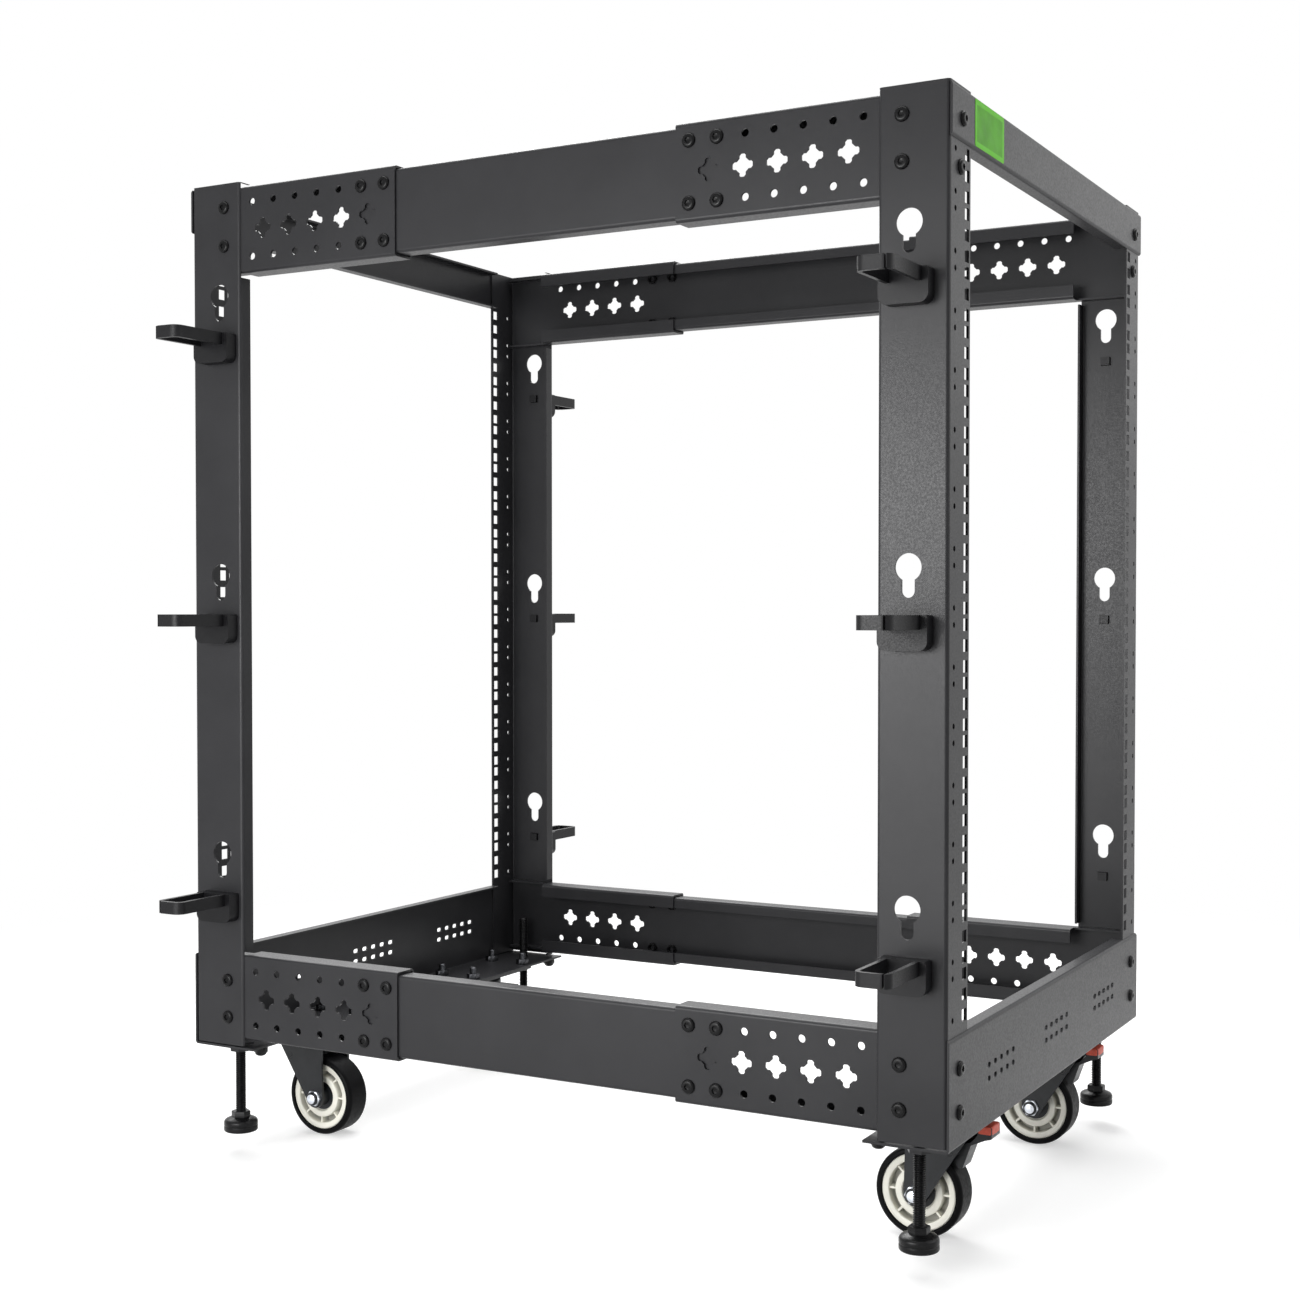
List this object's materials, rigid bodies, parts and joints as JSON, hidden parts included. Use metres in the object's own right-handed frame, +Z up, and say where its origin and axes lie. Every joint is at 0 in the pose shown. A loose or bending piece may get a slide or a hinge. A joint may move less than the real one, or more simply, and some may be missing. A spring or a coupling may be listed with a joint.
{
  "type": "four post open frame equipment rack",
  "caption": "Open frame rack of four perforated posts with crossbars, side rails, cable rings, levelling feet and braked swivel casters.",
  "frame": {"origin": "on the floor under the middle of the rack", "axes": "+Z up, the front faces -Y, and +X is the right-hand side of someone who looks at the front"},
  "size_m": [0.684, 0.7524, 0.9053],
  "materials": {
    "powder_coated_steel": "dark grey powder coat",
    "black_steel": "black coated steel",
    "black_plastic": "moulded black plastic",
    "cream_plastic": "moulded cream plastic",
    "black_polyurethane": "cast polyurethane"
  },
  "bodies": {
    "frame": {"post_front_left": "powder_coated_steel", "post_front_right": "powder_coated_steel", "post_rear_left": "powder_coated_steel", "post_rear_right": "powder_coated_steel", "top_crossbar_front": "powder_coated_steel", "bottom_crossbar_front": "powder_coated_steel", "top_crossbar_rear": "powder_coated_steel", "bottom_crossbar_rear": "powder_coated_steel", "top_bracket_front_left": "powder_coated_steel", "top_bracket_front_right": "powder_coated_steel", "top_bracket_rear_left": "powder_coated_steel", "top_bracket_rear_right": "powder_coated_steel", "top_centre_rail_left": "powder_coated_steel", "top_centre_rail_right": "powder_coated_steel", "bottom_bracket_front_left": "powder_coated_steel", "bottom_bracket_front_right": "powder_coated_steel", "bottom_bracket_rear_left": "powder_coated_steel", "bottom_bracket_rear_right": "powder_coated_steel", "bottom_centre_rail_left": "powder_coated_steel", "bottom_centre_rail_right": "powder_coated_steel", "cable_rings_front_left": "black_plastic", "caster_plate_front_left": "black_steel", "cable_rings_front_right": "black_plastic", "caster_plate_front_right": "black_steel", "cable_rings_rear_left": "black_plastic", "caster_plate_rear_left": "black_steel", "cable_rings_rear_right": "black_plastic", "caster_plate_rear_right": "black_steel", "crossbar_bolts_front": "black_steel", "crossbar_bolts_rear": "black_steel"},
    "fork_front_left": {"caster_fork_front_left": "black_steel"},
    "wheel_front_left": {"caster_hub_front_left": "cream_plastic", "caster_tyre_front_left": "black_polyurethane"},
    "pedal_front_left": {"caster_pedal_front_left": "black_steel"},
    "foot_front_left": {"levelling_foot_front_left": "black_steel"},
    "fork_front_right": {"caster_fork_front_right": "black_steel"},
    "wheel_front_right": {"caster_hub_front_right": "cream_plastic", "caster_tyre_front_right": "black_polyurethane"},
    "pedal_front_right": {"caster_pedal_front_right": "black_steel"},
    "foot_front_right": {"levelling_foot_front_right": "black_steel"},
    "fork_rear_left": {"caster_fork_rear_left": "black_steel"},
    "wheel_rear_left": {"caster_hub_rear_left": "cream_plastic", "caster_tyre_rear_left": "black_polyurethane"},
    "pedal_rear_left": {"caster_pedal_rear_left": "black_steel"},
    "foot_rear_left": {"levelling_foot_rear_left": "black_steel"},
    "fork_rear_right": {"caster_fork_rear_right": "black_steel"},
    "wheel_rear_right": {"caster_hub_rear_right": "cream_plastic", "caster_tyre_rear_right": "black_polyurethane"},
    "pedal_rear_right": {"caster_pedal_rear_right": "black_steel"},
    "foot_rear_right": {"levelling_foot_rear_right": "black_steel"}
  },
  "joints": [
    {"name": "swivel_front_left", "type": "hinge", "parent": "frame", "child": "fork_front_left", "pos_m": [-0.153, -0.3355, 0.09], "axis": [0, 0, 1], "continuous": true},
    {"name": "roll_front_left", "type": "hinge", "parent": "fork_front_left", "child": "wheel_front_left", "pos_m": [-0.153, -0.3095, 0.0375], "axis": [1, 0, 0], "continuous": true},
    {"name": "brake_front_left", "type": "hinge", "parent": "fork_front_left", "child": "pedal_front_left", "pos_m": [-0.153, -0.3395, 0.076], "axis": [1, 0, 0], "range_deg": [0, 12]},
    {"name": "level_front_left", "type": "slide", "parent": "frame", "child": "foot_front_left", "axis": [0, 0, 1], "range_m": [-0.019, 0.048]},
    {"name": "swivel_front_right", "type": "hinge", "parent": "frame", "child": "fork_front_right", "pos_m": [0.153, -0.3355, 0.09], "axis": [0, 0, 1], "continuous": true},
    {"name": "roll_front_right", "type": "hinge", "parent": "fork_front_right", "child": "wheel_front_right", "pos_m": [0.153, -0.3095, 0.0375], "axis": [1, 0, 0], "continuous": true},
    {"name": "brake_front_right", "type": "hinge", "parent": "fork_front_right", "child": "pedal_front_right", "pos_m": [0.153, -0.3395, 0.076], "axis": [1, 0, 0], "range_deg": [0, 12]},
    {"name": "level_front_right", "type": "slide", "parent": "frame", "child": "foot_front_right", "axis": [0, 0, 1], "range_m": [-0.019, 0.048]},
    {"name": "swivel_rear_left", "type": "hinge", "parent": "frame", "child": "fork_rear_left", "pos_m": [-0.153, 0.3355, 0.09], "axis": [0, 0, 1], "continuous": true},
    {"name": "roll_rear_left", "type": "hinge", "parent": "fork_rear_left", "child": "wheel_rear_left", "pos_m": [-0.153, 0.3095, 0.0375], "axis": [1, 0, 0], "continuous": true},
    {"name": "brake_rear_left", "type": "hinge", "parent": "fork_rear_left", "child": "pedal_rear_left", "pos_m": [-0.153, 0.3395, 0.076], "axis": [-1, 0, 0], "range_deg": [0, 12]},
    {"name": "level_rear_left", "type": "slide", "parent": "frame", "child": "foot_rear_left", "axis": [0, 0, 1], "range_m": [-0.019, 0.048]},
    {"name": "swivel_rear_right", "type": "hinge", "parent": "frame", "child": "fork_rear_right", "pos_m": [0.153, 0.3355, 0.09], "axis": [0, 0, 1], "continuous": true},
    {"name": "roll_rear_right", "type": "hinge", "parent": "fork_rear_right", "child": "wheel_rear_right", "pos_m": [0.153, 0.3095, 0.0375], "axis": [1, 0, 0], "continuous": true},
    {"name": "brake_rear_right", "type": "hinge", "parent": "fork_rear_right", "child": "pedal_rear_right", "pos_m": [0.153, 0.3395, 0.076], "axis": [-1, 0, 0], "range_deg": [0, 12]},
    {"name": "level_rear_right", "type": "slide", "parent": "frame", "child": "foot_rear_right", "axis": [0, 0, 1], "range_m": [-0.019, 0.048]}
  ]
}
